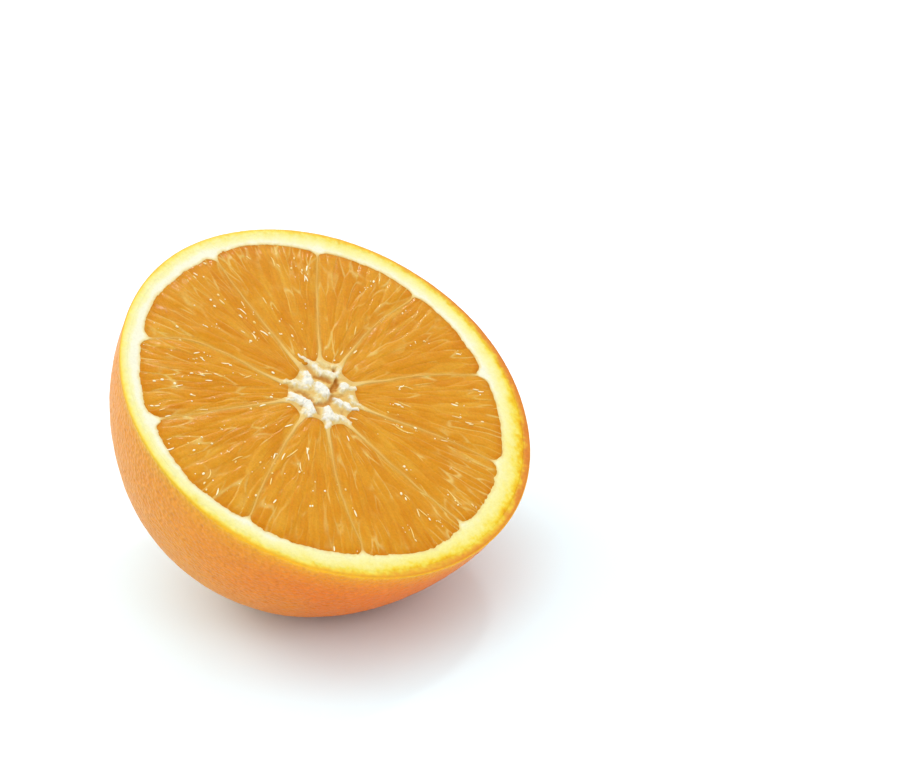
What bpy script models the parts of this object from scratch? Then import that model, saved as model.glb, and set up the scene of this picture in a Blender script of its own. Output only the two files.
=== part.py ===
import math

import bmesh
import bpy
import numpy as np
from mathutils import Matrix, Vector, geometry

# Half an orange, cut across its core and resting on the side of its round back.
# All sizes are in metres. The fruit's own axes sit at the middle of the cut face,
# with Z out of the face. An empty carries them and leans them over.

MM = 0.001

# Body of the fruit
FRUIT_RADIUS = 40.0 * MM
HALF_DEPTH = 40.0 * MM
POLE_SHIFT = (-2.0 * MM, -1.0 * MM)
LOBE_SWELL = 0.054
LOBE_TURN = 2.40
SKIN_RIPPLE = 0.10 * MM
RIM_ROUND = 0.35 * MM
SCAR_RADIUS = 3.2 * MM
SCAR_DEPTH = 0.7 * MM

# Layers under the skin
GAP = 0.3 * MM
RIND_WALL = 1.6 * MM
PULP_RADIUS = 34.9 * MM
PULP_DEPTH = 34.6 * MM
PULP_CENTRE = (-1.05 * MM, -0.16 * MM)
CORE_CENTRE = (-1.6 * MM, 0.1 * MM)
WALL_HALF = 0.40 * MM

# How the half lies: lean of the cut face from level, the way it faces, and how deep the
# skin has settled flat on the table
LEAN = math.radians(28.93)
FACING = math.radians(-40.0)
SETTLE = 1.55 * MM

# Each wall between two segments: its direction in degrees beside the core, its direction
# at the pith, and how far it bows sideways in between
WALLS = [
    (178.0, 175.5, -8.0),
    (131.7, 130.3, 0.6),
    (94.5, 93.6, 0.4),
    (67.0, 59.5, 0.8),
    (32.0, 25.0, 1.0),
    (-7.0, -9.9, 2.2),
    (-48.0, -39.0, 0.6),
    (-80.0, -75.3, -1.2),
    (-116.0, -111.0, -0.5),
    (-151.0, -152.7, 0.0),
]

# Distance of each segment's inner end from the middle of the core
INNER_ENDS = [5.6, 7.1, 7.8, 6.9, 6.7, 6.2, 7.1, 6.3, 7.0, 6.7]

SKIN_SIDES = 64
SKIN_ROWS = 16
INNER_SIDES = 64
INNER_ROWS = 11
CORE_SIDES = 40
COLOURS = {
    "rind": ((0.78, 0.27, 0.035), 0.38),
    "pith": ((0.86, 0.71, 0.36), 0.62),
    "pulp": ((0.80, 0.34, 0.045), 0.22),
}


def clear_file():
    for item in list(bpy.data.objects):
        bpy.data.objects.remove(item, do_unlink=True)


def new_collection(name):
    group = bpy.data.collections.new(name)
    bpy.context.scene.collection.children.link(group)
    return group


def make_material(name, colour, roughness):
    material = bpy.data.materials.new(name)
    material.use_nodes = True
    shader = material.node_tree.nodes["Principled BSDF"]
    shader.inputs["Base Color"].default_value = (*colour, 1.0)
    shader.inputs["Roughness"].default_value = roughness
    shader.inputs["Metallic"].default_value = 0.0
    return material


def make_solid(name, points, faces, group, look=None):
    mesh = bpy.data.meshes.new(name)
    mesh.from_pydata([tuple(p) for p in points], [], faces)
    mesh.validate()
    mesh.update()
    solid = bpy.data.objects.new(name, mesh)
    group.objects.link(solid)
    if look:
        mesh.materials.append(make_material(name + "_surface", *COLOURS[look]))
    return solid


def make_cutter(name, points, faces, group):
    cutter = make_solid(name, points, faces, group)
    cutter.hide_render = True
    cutter.display_type = "WIRE"
    return cutter


def cut(solid, cutter=None, group=None):
    step = solid.modifiers.new("cut", "BOOLEAN")
    step.operation = "DIFFERENCE"
    step.solver = "EXACT"
    if group:
        step.operand_type = "COLLECTION"
        step.collection = group
    else:
        step.object = cutter
    return step


# Round body

def skin_ripple(angle, turn):
    """Slight unevenness of the skin, as a depth below its even shape."""
    wave = math.sin(7.0 * angle + 3.0 * math.sin(2.6 * turn)) + math.cos(4.0 * angle - 6.5 * turn)
    return SKIN_RIPPLE * (1.0 + 0.5 * wave) * math.cos(turn) ** 2


def body_point(angle, turn, inset=0.0):
    """Point on the body: angle round the core, turn from the rim (0) to the pole (pi/2)."""
    swell = 1.0 + LOBE_SWELL * math.sin(turn) * math.cos(2.0 * angle - LOBE_TURN)
    if inset == 0.0:
        inset = skin_ripple(angle, turn)
    radius = (FRUIT_RADIUS - inset) * math.cos(turn) * swell
    depth = (HALF_DEPTH - inset) * math.sin(turn)
    share = depth / HALF_DEPTH
    x = POLE_SHIFT[0] * share + radius * math.cos(angle)
    y = POLE_SHIFT[1] * share + radius * math.sin(angle)
    return Vector((x, y, -depth))


def scar_dip(point, inset):
    """Shallow dimple round the pole, where the flower's style broke away."""
    away = math.hypot(point.x - POLE_SHIFT[0], point.y - POLE_SHIFT[1])
    if inset > 0.0:
        return 0.0
    return SCAR_DEPTH * math.exp(-(away / SCAR_RADIUS) ** 2)


def ring(sides, turn, inset):
    points = []
    for i in range(sides):
        point = body_point(2.0 * math.pi * i / sides, turn, inset)
        point.z += scar_dip(point, inset)
        points.append(point)
    return points


def half_ball(sides, rows, inset):
    """Lower half of a ball, open at the cut, with its points moved out to the fruit's shape."""
    shape = bmesh.new()
    bmesh.ops.create_uvsphere(shape, u_segments=sides, v_segments=2 * rows, radius=1.0)
    everything = shape.verts[:] + shape.edges[:] + shape.faces[:]
    bmesh.ops.bisect_plane(
        shape, geom=everything, plane_co=(0, 0, 0), plane_no=(0, 0, 1), clear_outer=True
    )
    for vert in shape.verts:
        angle = math.atan2(vert.co.y, vert.co.x)
        turn = math.asin(min(1.0, max(0.0, -vert.co.z)))
        vert.co = body_point(angle, turn, inset)
        vert.co.z += scar_dip(vert.co, inset)
    return shape


def rim_edges(shape):
    return [edge for edge in shape.edges if len(edge.link_faces) == 1]


def close_rim(shape):
    bmesh.ops.edgeloop_fill(shape, edges=rim_edges(shape))
    bmesh.ops.recalc_face_normals(shape, faces=shape.faces[:])


def finish_shape(shape, name, group, look=None):
    mesh = bpy.data.meshes.new(name)
    shape.to_mesh(mesh)
    shape.free()
    solid = bpy.data.objects.new(name, mesh)
    group.objects.link(solid)
    if look:
        mesh.materials.append(make_material(name + "_surface", *COLOURS[look]))
    return solid


def join_rings(rings, pole=None):
    """Side faces through a stack of equal rings, the first ring uppermost."""
    points = [p for one in rings for p in one]
    sides = len(rings[0])
    faces = []
    for k in range(len(rings) - 1):
        for i in range(sides):
            j = (i + 1) % sides
            a = k * sides
            b = a + sides
            faces.append((a + i, b + i, b + j, a + j))
    if pole is not None:
        points.append(pole)
        last = (len(rings) - 1) * sides
        tip = len(points) - 1
        for i in range(sides):
            faces.append((last + i, tip, last + (i + 1) % sides))
    return points, faces


def pole_point(inset):
    point = body_point(0.0, math.pi / 2.0, inset)
    point.z += scar_dip(point, inset)
    return point


def build_skin_body(group):
    """Closed outer body of the rind with a softened edge at the cut."""
    shape = half_ball(SKIN_SIDES, SKIN_ROWS, 0.0)
    rim = rim_edges(shape)
    close_rim(shape)
    bmesh.ops.bevel(shape, geom=rim, offset=RIM_ROUND, segments=1, affect="EDGES")
    return finish_shape(shape, "rind", group, "rind")


def build_hollow(group):
    """What the rind is hollowed by: the body shrunk by one wall, carried on above the cut."""
    shape = half_ball(INNER_SIDES, INNER_ROWS, RIND_WALL)
    raised = bmesh.ops.extrude_edge_only(shape, edges=rim_edges(shape))
    verts = [item for item in raised["geom"] if isinstance(item, bmesh.types.BMVert)]
    bmesh.ops.translate(shape, verts=verts, vec=(0.0, 0.0, 4.0 * MM))
    close_rim(shape)
    hollow = finish_shape(shape, "rind_hollow", group)
    hollow.hide_render = True
    hollow.display_type = "WIRE"
    return hollow


# Core relief: bright lumps (x, y, width, height) and hollows between them, in millimetres

CORE_LUMPS = [
    (0.1, 0.9, 1.5, 1.9),
    (-3.3, 3.0, 1.3, 1.4),
    (-4.7, 0.8, 1.2, 1.1),
    (-2.5, -4.0, 1.4, 1.5),
    (-4.8, -2.8, 1.2, 1.1),
    (1.4, -4.2, 1.5, 1.6),
    (3.2, -1.0, 1.1, 1.3),
    (4.8, -1.7, 1.0, 1.1),
    (4.3, 2.7, 1.2, 1.2),
    (5.5, 0.6, 0.9, 0.7),
    (0.5, 5.2, 1.5, 0.6),
]

CORE_HOLLOWS = [
    (-1.8, 3.2, 1.1, 3.0),
    (0.6, 3.2, 1.0, 2.8),
    (2.6, 3.4, 0.9, 2.2),
    (-3.4, -1.3, 1.0, 2.2),
    (-1.4, -2.0, 1.0, 2.4),
    (-0.5, -3.4, 0.7, 1.4),
    (1.6, -1.4, 0.9, 1.9),
    (2.7, 0.9, 0.9, 1.5),
]

CORE_RINGS = [8.3, 7.0, 6.0, 5.1, 4.3, 3.5, 2.7, 1.9, 1.0]


def core_height(x, y):
    """Height of the core over the cut face at a place measured from its middle."""
    height = 0.0
    for px, py, width, rise in CORE_LUMPS:
        height += rise * math.exp(-((x - px) ** 2 + (y - py) ** 2) / width ** 2)
    for px, py, width, dip in CORE_HOLLOWS:
        height -= dip * math.exp(-((x - px) ** 2 + (y - py) ** 2) / width ** 2)
    away = math.hypot(x, y)
    fade = min(1.0, max(0.0, (8.3 - away) / 1.6))
    return height * fade


def build_pith_body(group):
    """Closed body of the pith with the lumpy core in the middle of its cut face."""
    inset = RIND_WALL + GAP
    centre = Vector((CORE_CENTRE[0], CORE_CENTRE[1], 0.0))
    core = [centre + Vector((0.0, 0.0, core_height(0.0, 0.0) * MM))]
    core_faces = []
    rings = []
    for radius in reversed(CORE_RINGS):
        start = len(core)
        for i in range(CORE_SIDES):
            angle = 2.0 * math.pi * i / CORE_SIDES
            x = radius * math.cos(angle)
            y = radius * math.sin(angle)
            core.append(centre + Vector((x * MM, y * MM, core_height(x, y) * MM)))
        rings.append(start)
    for i in range(CORE_SIDES):
        core_faces.append((0, rings[0] + i, rings[0] + (i + 1) % CORE_SIDES))
    for inner, outer in zip(rings, rings[1:]):
        for i in range(CORE_SIDES):
            j = (i + 1) % CORE_SIDES
            core_faces.append((inner + i, outer + i, outer + j, inner + j))
    quarter = math.pi / 2.0
    skin = [ring(INNER_SIDES, quarter * k / INNER_ROWS, inset) for k in range(INNER_ROWS)]
    points, faces = join_rings(skin, pole_point(inset))
    base = len(points)
    points = points + core
    faces += [tuple(base + i for i in face) for face in core_faces]
    faces += flat_collar(points, range(INNER_SIDES), [base + rings[-1] + i for i in range(CORE_SIDES)])
    return make_solid("pith", points, faces, group, "pith")


def facing_up(names, points):
    """The triangle's corners in the order that turns its face upward."""
    a, b, c = (points[i] for i in names)
    if (b.x - a.x) * (c.y - a.y) < (b.y - a.y) * (c.x - a.x):
        return tuple(reversed(names))
    return tuple(names)


def flat_collar(points, outer, inner):
    """Triangles between two closed rings of different counts that lie in one plane."""
    outer = list(outer)
    inner = list(inner)
    where = [Vector((points[i].x, points[i].y)) for i in outer + inner]
    edges = [(i, (i + 1) % len(outer)) for i in range(len(outer))]
    first = len(outer)
    edges += [(first + i, first + (i + 1) % len(inner)) for i in range(len(inner))]
    spots, _, tris, *_ = geometry.delaunay_2d_cdt(where, edges, [], 0, 1e-7)
    kept = []
    names = outer + inner
    for tri in tris:
        if all(i >= first for i in tri):
            continue
        kept.append(facing_up([names[i] for i in tri], points))
    return kept


# Segments

def wall_direction(index, radius):
    """Direction of a wall between segments at a distance from the core's middle."""
    near, far, bow = WALLS[index % len(WALLS)]
    share = min(1.0, max(0.0, (radius - 8.0 * MM) / (25.0 * MM)))
    return math.radians(near + (far - near) * share + bow * math.sin(math.pi * share))


def pulp_reach(angle, share, grow):
    """Distance from the core's middle to the pulp's outer skin at a share of the depth."""
    radius = (PULP_RADIUS + grow) * math.sqrt(max(0.0, 1.0 - share * share))
    offset_x = CORE_CENTRE[0] - PULP_CENTRE[0]
    offset_y = CORE_CENTRE[1] - PULP_CENTRE[1]
    along = offset_x * math.cos(angle) + offset_y * math.sin(angle)
    across = offset_x ** 2 + offset_y ** 2 - radius ** 2
    return -along + math.sqrt(along ** 2 - across)


def segment_place(index, u, v, share, grow):
    """Place inside a segment: u from wall to wall and v from core to pith, both -1 to 1."""
    inner = INNER_ENDS[index] * MM * (1.0 - 0.35 * share * share) - grow
    middle_far = 0.5 * (WALLS[index][1] + next_wall(index)[1])
    outer = pulp_reach(math.radians(middle_far), share, grow)
    radius = inner + (outer - inner) * 0.5 * (v + 1.0)
    start = wall_direction(index, radius)
    stop = wall_direction(index + 1, radius)
    if stop > start:
        stop -= 2.0 * math.pi
    margin = (WALL_HALF + GAP - grow) / max(radius, 1.0 * MM)
    angle = start - margin + (stop - start + 2.0 * margin) * 0.5 * (u + 1.0)
    reach = pulp_reach(angle, share, grow)
    radius = inner + (reach - inner) * 0.5 * (v + 1.0)
    depth = (PULP_DEPTH + grow) * share
    drift = depth / HALF_DEPTH
    x = CORE_CENTRE[0] + POLE_SHIFT[0] * drift + radius * math.cos(angle)
    y = CORE_CENTRE[1] + POLE_SHIFT[1] * drift + radius * math.sin(angle)
    return Vector((x, y, -depth))


def next_wall(index):
    near, far, _ = WALLS[(index + 1) % len(WALLS)]
    if far > WALLS[index][1]:
        return near - 360.0, far - 360.0
    return near, far


# Half of a segment's rounded outline from the core end to the pith end, mirrored for the rest
HALF_OUTLINE = [
    (0.70, -0.970),
    (1.00, -0.870),
    (1.00, -0.500),
    (1.00, -0.100),
    (1.00, 0.300),
    (1.00, 0.680),
    (0.985, 0.880),
    (0.92, 0.972),
    (0.68, 1.000),
    (0.34, 1.000),
]


def whole_outline():
    right = [(0.0, -1.0)] + HALF_OUTLINE + [(0.0, 1.0)]
    left = [(-u, v) for u, v in reversed(HALF_OUTLINE)]
    return right + left


RING_UV = whole_outline()
SEGMENT_SIDES = len(RING_UV)
DEPTH_SHARES = [math.sin(math.radians(a)) for a in (0, 14, 28, 42, 55, 67, 77)]


def segment_rings(index, grow, shares):
    rings = []
    for share in shares:
        rings.append([segment_place(index, u, v, share, grow) for u, v in RING_UV])
    return rings


# Rows of juice sacs from core to pith: start and end of the row and how many lie side by side
SAC_ROWS = [(-0.90, -0.46, 2), (-0.46, 0.02, 4), (-0.04, 0.46, 5), (0.42, 0.90, 7)]
SAC_RISE = 0.55 * MM
SAC_DIP = 0.25 * MM


def juice_sacs(index, chance):
    """Crests and dips of the juice sacs as (u, v, height) over a segment's cut face."""
    spots = []
    for low, high, count in SAC_ROWS:
        span = high - low
        apart = (
            segment_place(index, 0.86 / count, low + 0.5 * span, 0.0, 0.0)
            - segment_place(index, 0.0, low + 0.5 * span, 0.0, 0.0)
        ).length
        slim = min(1.0, max(0.3, apart / (1.3 * MM)))
        for k in range(count):
            u = 0.86 * (2.0 * (k + 0.5) / count - 1.0)
            slip = 0.10 * span * chance.uniform(-1.0, 1.0)
            rise = SAC_RISE * chance.uniform(0.7, 1.0) * slim
            spots.append((u * 0.94, low + 0.20 * span + slip, rise))
            spots.append((u, low + 0.74 * span + slip, rise))
            if k:
                edge = 0.86 * (2.0 * k / count - 1.0)
                spots.append((edge, low + 0.5 * span + slip, -SAC_DIP * slim))
    return spots


def build_segment(index, group, chance):
    """One segment of pulp with its juice sacs standing up on the cut face."""
    rings = segment_rings(index, 0.0, DEPTH_SHARES)
    points, faces = join_rings(rings)
    last = (len(rings) - 1) * SEGMENT_SIDES
    faces.append(tuple(last + i for i in reversed(range(SEGMENT_SIDES))))
    top = rings[0]
    flat = [Vector((p.x, p.y)) for p in top]
    heights = [0.0] * len(top)
    for u, v, height in juice_sacs(index, chance):
        place = segment_place(index, u, v, 0.0, 0.0)
        flat.append(Vector((place.x, place.y)))
        heights.append(height)
    edges = [(i, (i + 1) % SEGMENT_SIDES) for i in range(SEGMENT_SIDES)]
    spots, _, tris, *_ = geometry.delaunay_2d_cdt(flat, edges, [], 1, 1e-7)
    base = len(points)
    for k in range(SEGMENT_SIDES, len(flat)):
        points.append(Vector((flat[k].x, flat[k].y, heights[k])))
    for tri in tris:
        names = [i if i < SEGMENT_SIDES else base + i - SEGMENT_SIDES for i in tri]
        faces.append(facing_up(names, points))
    name = "segment_%02d" % (index + 1)
    return make_solid(name, points, faces, group, "pulp")


def build_chamber(index, group):
    """Chamber for one segment: its shape with the gap added, carried on above the cut."""
    rings = segment_rings(index, GAP, DEPTH_SHARES)
    above = [point + Vector((0.0, 0.0, 3.0 * MM)) for point in rings[0]]
    points, faces = join_rings([above] + rings)
    last = len(rings) * SEGMENT_SIDES
    faces.append(tuple(last + i for i in reversed(range(SEGMENT_SIDES))))
    faces.append(tuple(range(SEGMENT_SIDES)))
    return make_cutter("chamber_%02d" % (index + 1), points, faces, group)


def block(name, low, high, group):
    (x0, y0, z0), (x1, y1, z1) = low, high
    points = [(x0, y0, z0), (x1, y0, z0), (x1, y1, z0), (x0, y1, z0)]
    points += [(x0, y0, z1), (x1, y0, z1), (x1, y1, z1), (x0, y1, z1)]
    faces = [(0, 3, 2, 1), (4, 5, 6, 7), (0, 1, 5, 4), (1, 2, 6, 5), (2, 3, 7, 6), (3, 0, 4, 7)]
    return make_cutter(name, points, faces, group)


# Leaning axes of the fruit

def face_axes():
    out = Vector((math.sin(LEAN) * math.cos(FACING), math.sin(LEAN) * math.sin(FACING), math.cos(LEAN)))
    across = Vector((1.0, 0.0, 0.0))
    across = (across - out * across.dot(out)).normalized()
    return Matrix((across, out.cross(across), out)).transposed()


def lowest_point(turned):
    """Lowest point of the leaning body before it settles."""
    best = None
    for i in range(360):
        for k in range(181):
            spot = turned @ body_point(math.radians(i), math.radians(k * 0.5))
            if best is None or spot.z < best.z:
                best = spot
    return best


def build():
    clear_file()
    parts = new_collection("orange_half")
    cutters = new_collection("orange_half_cutters")
    chambers = new_collection("segment_chambers")
    chance = np.random.default_rng(11)

    turned = face_axes()
    lowest = lowest_point(turned)
    axes = bpy.data.objects.new("fruit_axes", None)
    axes.rotation_euler = turned.to_euler()
    axes.location = (-lowest.x, -lowest.y, -lowest.z - SETTLE)
    parts.objects.link(axes)

    reach = 80.0 * MM
    under = -30.0 * MM
    floor_skin = block("floor_skin", (-reach, -reach, under), (reach, reach, 0.0), cutters)
    floor_hollow = block("floor_hollow", (-reach, -reach, under), (reach, reach, RIND_WALL), cutters)
    level = RIND_WALL + GAP
    floor_pith = block("floor_pith", (-reach, -reach, under), (reach, reach, level), cutters)

    rind = build_skin_body(parts)
    hollow = build_hollow(cutters)
    cut(hollow, floor_hollow)
    cut(rind, floor_skin)
    cut(rind, hollow)

    pith = build_pith_body(parts)
    cut(pith, floor_pith)
    for index in range(len(WALLS)):
        chamber = build_chamber(index, chambers)
        chamber.parent = axes
        segment = build_segment(index, parts, chance)
        segment.parent = axes
    cut(pith, group=chambers)

    for solid in (rind, hollow, pith):
        solid.parent = axes
    bpy.context.view_layer.update()


build()
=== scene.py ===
import itertools
import math

import bpy
import numpy as np
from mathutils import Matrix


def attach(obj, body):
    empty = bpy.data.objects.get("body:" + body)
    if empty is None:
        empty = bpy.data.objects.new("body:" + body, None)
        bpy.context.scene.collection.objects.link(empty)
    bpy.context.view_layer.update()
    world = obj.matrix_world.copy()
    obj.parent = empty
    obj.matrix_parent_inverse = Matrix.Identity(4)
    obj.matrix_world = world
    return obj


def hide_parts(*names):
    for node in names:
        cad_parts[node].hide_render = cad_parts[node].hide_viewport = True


# Half an orange with its cut face toward the camera. Lengths in the shape code are in
# millimetres, in the fruit's own axes: the middle of the cut face is the origin and Z
# points out of the face. They are turned into the frame's metres at the end.

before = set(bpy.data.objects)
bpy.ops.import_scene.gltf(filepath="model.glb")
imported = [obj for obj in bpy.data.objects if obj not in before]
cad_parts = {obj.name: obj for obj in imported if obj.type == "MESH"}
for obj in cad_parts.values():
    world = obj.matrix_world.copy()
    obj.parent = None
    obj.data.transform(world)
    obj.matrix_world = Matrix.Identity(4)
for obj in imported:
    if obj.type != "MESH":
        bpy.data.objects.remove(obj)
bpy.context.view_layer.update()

MM = 0.001
TAU = 2.0 * math.pi

# Body, as the solids have it
RADIUS = 40.0
DEPTH = 40.0
POLE_SHIFT = (-2.0, -1.0)
LOBE_SWELL = 0.054
LOBE_TURN = 2.40
SKIN_RIPPLE = 0.10
RIND_WALL = 1.6
PULP_RADIUS = 34.9
PULP_DEPTH = 34.6
PULP_CENTRE = (-1.05, -0.16)
CORE_CENTRE = (-1.6, 0.1)
SCAR_RADIUS = 3.2
SCAR_DEPTH = 0.7
LEAN = math.radians(28.93)
FACING = math.radians(-40.0)
SETTLE = 1.55
SETTLE_BLEND = 0.5

# Walls between segments: far direction, straight drift toward the core, extra turn close
# to the core, and sideways bow, all in degrees
WALLS = np.array([
    (175.5, 2.5, 0.0, -8.0),
    (130.3, 1.4, 0.0, 0.6),
    (93.6, 0.9, 0.0, 0.4),
    (59.5, 7.0, 0.0, 0.8),
    (25.0, 5.5, 7.0, 1.0),
    (-9.9, 0.0, 9.0, 2.2),
    (-39.0, -7.0, -6.0, 0.6),
    (-75.3, -5.0, 0.0, -1.2),
    (-111.0, -5.0, -2.0, -0.5),
    (-152.7, 1.0, 3.0, 0.0),
])
COUNT = len(WALLS)

# Distance from the core's middle where the walls have their far direction
ARC_RADIUS = 33.0

# Distance of each segment's tip from the core's middle
TIPS = np.array([5.6, 7.1, 7.8, 6.9, 6.7, 6.2, 7.1, 6.3, 7.0, 6.7])

# How far in the pith reaches where it meets each wall
NOTCHES = np.array([1.1, 0.9, 0.7, 0.5, 1.4, 1.0, 1.0, 0.5, 0.7, 1.6])

# By direction in degrees: how far the pulp's edge lies outside its circle
PULP_SWELLS = np.array([
    (0, 0.0), (30, 0.0), (45, 0.5), (60, 0.3), (72, 0.8), (90, 0.35), (100, 0.1), (115, 0.85),
    (130, 0.7), (138, 0.1), (160, 0.5), (185, 0.0), (197, 0.45), (207, 0.3), (228, 1.1), (248, 0.25),
    (265, 0.35), (282, 0.1), (305, 1.1), (325, 0.3), (345, 0.1), (360, 0.0),
])

# Parts of the pith's mesh: the core, and a strip inside and outside the pulp's edge
CORE_REACH = 8.6
EDGE_INSIDE = 1.3
EDGE_OUTSIDE = 0.8

# Rounding of the rind's outer corner
CORNER = 0.32

# Pith's outer side under the skin, its height over the table, and how far pulp runs on under pith
PITH_INSET = RIND_WALL - 0.12
PITH_LEVEL = RIND_WALL - 0.10
PULP_MARGIN = 0.7


# Random fields

def lattice(ix, iy, iz, seed):
    """Even random numbers from 0 to 1, one for each whole-number place."""
    n = ix * 374761393 + iy * 668265263 + iz * 1440662683 + seed * 974634777
    n = n & 0xFFFFFFFF
    n = ((n ^ (n >> 13)) * 1274126177) & 0xFFFFFFFF
    n = ((n ^ (n >> 15)) * 374761393) & 0xFFFFFFFF
    n = n ^ (n >> 16)
    return (n & 0xFFFFFF) / float(0xFFFFFF)


def noise(x, y, z, seed):
    """Smooth noise from -1 to 1 with a pitch of 1."""
    lows, weights = [], []
    for value in np.broadcast_arrays(x, y, z):
        low = np.floor(value).astype(np.int64)
        part = value - low
        part = part * part * (3.0 - 2.0 * part)
        lows.append(low)
        weights.append((1.0 - part, part))
    total = 0.0
    for dx, dy, dz in itertools.product((0, 1), repeat=3):
        weight = weights[0][dx] * weights[1][dy] * weights[2][dz]
        total = total + weight * lattice(lows[0] + dx, lows[1] + dy, lows[2] + dz, seed)
    return 2.0 * total - 1.0


def plane_noise(x, y, pitch, seed, level=0.5):
    """Noise over the cut plane."""
    return noise(x / pitch, y / pitch, level, seed)


def noise_at(points, pitch, seed):
    return noise(*(points / pitch).T, seed)


def rough_noise(x, y, z, seed):
    total, size, scale = 0.0, 1.0, 1.0
    for k in range(3):
        total = total + size * noise(x * scale, y * scale, z * scale, seed + 17 * k)
        size *= 0.5
        scale *= 2.03
    return total


def cells(x, y, z, seed):
    """Distance to the nearest scattered point, and a random number that belongs to it."""
    lows = [np.floor(value).astype(np.int64) for value in (x, y, z)]
    nearest = np.full(x.shape, 9.0)
    label = np.zeros(x.shape)
    for steps in itertools.product((-1, 0, 1), repeat=3):
        cell = [low + step for low, step in zip(lows, steps)]
        px, py, pz = (cell[k] + lattice(*cell, seed + k) for k in range(3))
        away = np.sqrt((x - px) ** 2 + (y - py) ** 2 + (z - pz) ** 2)
        label = np.where(away < nearest, lattice(*cell, seed + 3), label)
        nearest = np.minimum(nearest, away)
    return nearest, label


def smooth(low, high, value):
    share = np.clip((value - low) / (high - low), 0.0, 1.0)
    return share * share * (3.0 - 2.0 * share)


def bell(value):
    """1 at zero, and falling off to nothing on both sides."""
    return np.exp(-(value ** 2))


def decay(distance, length):
    """1 up to zero, and dying away over a length beyond it."""
    return np.exp(-np.maximum(distance, 0.0) / length)


def mix(a, b, share):
    return a * (1.0 - share) + b * share


def blend(a, b, share):
    """Mix of colours, with one share for each."""
    return mix(a, b, share[..., None])


def linear(red, green, blue, light):
    """The surface that looks like a screen colour, 0 to 255, in so much light."""
    out = []
    for value in (red, green, blue):
        c = value / 255.0
        out.append(c / 12.92 if c <= 0.04045 else ((c + 0.055) / 1.055) ** 2.4)
    return np.array(out) / light


def colour_stops(light, rows):
    """Stops for a ramp, from rows of value, red, green and blue."""
    return [(value, linear(red, green, blue, light)) for value, red, green, blue in rows]


def ramp(value, stops):
    """Colour at a value, between stops given as (value, colour)."""
    places = [place for place, _ in stops]
    bands = np.array([colour for _, colour in stops])
    return np.stack([np.interp(value, places, bands[:, c]) for c in range(3)], axis=-1)


# Fruit's axes in the frame

def face_axes():
    tilt = math.sin(LEAN)
    out = np.array([tilt * math.cos(FACING), tilt * math.sin(FACING), math.cos(LEAN)])
    across = np.array([1.0, 0.0, 0.0]) - out * out[0]
    across /= np.linalg.norm(across)
    return np.array([across, np.cross(out, across), out])


AXES = face_axes()


def skin_ripple(angle, turn):
    wave = np.sin(7.0 * angle + 3.0 * np.sin(2.6 * turn)) + np.cos(4.0 * angle - 6.5 * turn)
    return SKIN_RIPPLE * (1.0 + 0.5 * wave) * np.cos(turn) ** 2


def body_point(angle, turn, inset):
    """Points on the body: angle round the core, turn from the rim (0) to the pole (pi/2)."""
    angle, turn, inset = np.broadcast_arrays(angle, turn, inset)
    swell = 1.0 + LOBE_SWELL * np.sin(turn) * np.cos(2.0 * angle - LOBE_TURN)
    radius = (RADIUS - inset) * np.cos(turn) * swell
    depth = (DEPTH - inset) * np.sin(turn)
    x = POLE_SHIFT[0] * depth / DEPTH + radius * np.cos(angle)
    y = POLE_SHIFT[1] * depth / DEPTH + radius * np.sin(angle)
    return np.stack([x, y, -depth], axis=-1)


def find_place():
    """Place of the fruit's axes that sets its flat spot on the frame's origin, in mm."""
    angle, turn = np.meshgrid(np.radians(np.arange(360.0)), np.radians(np.arange(181.0) * 0.5))
    spots = body_point(angle, turn, skin_ripple(angle, turn)).reshape(-1, 3) @ AXES
    low = spots[spots[:, 2].argmin()]
    return np.array([-low[0], -low[1], -low[2] - SETTLE])


ORIGIN = find_place()


def to_frame(points):
    """Points in the fruit's axes, in mm, as points in the frame, in mm."""
    return points @ AXES + ORIGIN


def settle(points, level):
    """Flatten what lies under a level in the frame, softly, as a soft fruit settles on a table."""
    placed = to_frame(points)
    z = placed[:, 2] - level
    soft = SETTLE_BLEND
    rounded = (z + soft) ** 2 / (4.0 * soft)
    placed[:, 2] = np.where(z > soft, z, np.where(z < -soft, 0.0, rounded)) + level
    return placed


# Meshes

def add_object(name, data):
    """Object in the scene, with a mesh, a light or a camera for its data."""
    made = bpy.data.objects.new(name, data)
    bpy.context.scene.collection.objects.link(made)
    return made


def add_piece(name, points, faces, tint, material, node):
    """Mesh object from points in the frame (mm), quads and triangles, and a colour per point."""
    mesh = bpy.data.meshes.new(name)
    quads, tris = faces
    corners = np.concatenate([quads.ravel(), tris.ravel()]).astype(np.int32)
    sizes = np.concatenate([np.full(len(quads), 4), np.full(len(tris), 3)]).astype(np.int32)
    starts = np.concatenate([[0], np.cumsum(sizes)[:-1]]).astype(np.int32)
    mesh.vertices.add(len(points))
    mesh.vertices.foreach_set("co", (points * MM).astype(np.float32).ravel())
    mesh.loops.add(len(corners))
    mesh.loops.foreach_set("vertex_index", corners)
    mesh.polygons.add(len(sizes))
    mesh.polygons.foreach_set("loop_start", starts)
    mesh.polygons.foreach_set("loop_total", sizes)
    mesh.update(calc_edges=True)
    mesh.validate()
    mesh.shade_smooth()
    layer = mesh.color_attributes.new("tint", "FLOAT_COLOR", "POINT")
    full = np.ones((len(points), 4), dtype=np.float32)
    full[:, : tint.shape[1]] = tint
    layer.data.foreach_set("color", full.ravel())
    mesh.materials.append(material)
    piece = add_object(name, mesh)
    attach(piece, "root")
    if node:
        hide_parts(node)
    return piece


def fan(ring, tip):
    """Triangles from a ring of points to a tip."""
    return np.stack([ring, np.full(len(ring), tip), np.roll(ring, -1)], axis=-1)


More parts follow.
